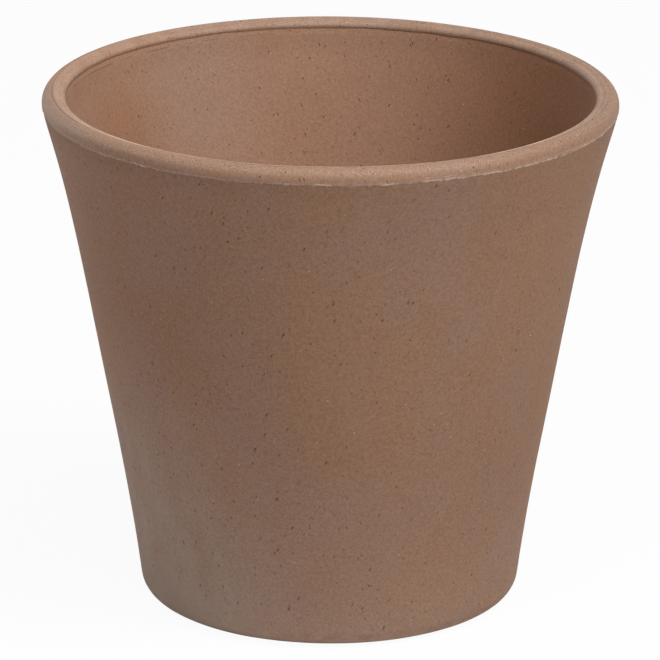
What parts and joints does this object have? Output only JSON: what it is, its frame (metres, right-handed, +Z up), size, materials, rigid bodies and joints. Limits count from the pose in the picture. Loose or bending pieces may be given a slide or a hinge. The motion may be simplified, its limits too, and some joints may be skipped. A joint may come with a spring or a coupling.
{
  "type": "plant pot",
  "caption": "Round flared terracotta plant pot with a rolled lip, a flat base and a central drain hole.",
  "frame": {"origin": "centre of the flat base, on the surface that the pot stands on", "axes": "+Z up along the pot's own axis; the pot is round, so X and Y are any two level directions"},
  "size_m": [0.24, 0.24, 0.2175],
  "materials": {
    "terracotta": "matte unglazed fired clay, mottled grey-brown and orange-brown, fine pits and pale specks"
  },
  "bodies": {
    "root": {"pot": "terracotta"}
  },
  "joints": []
}
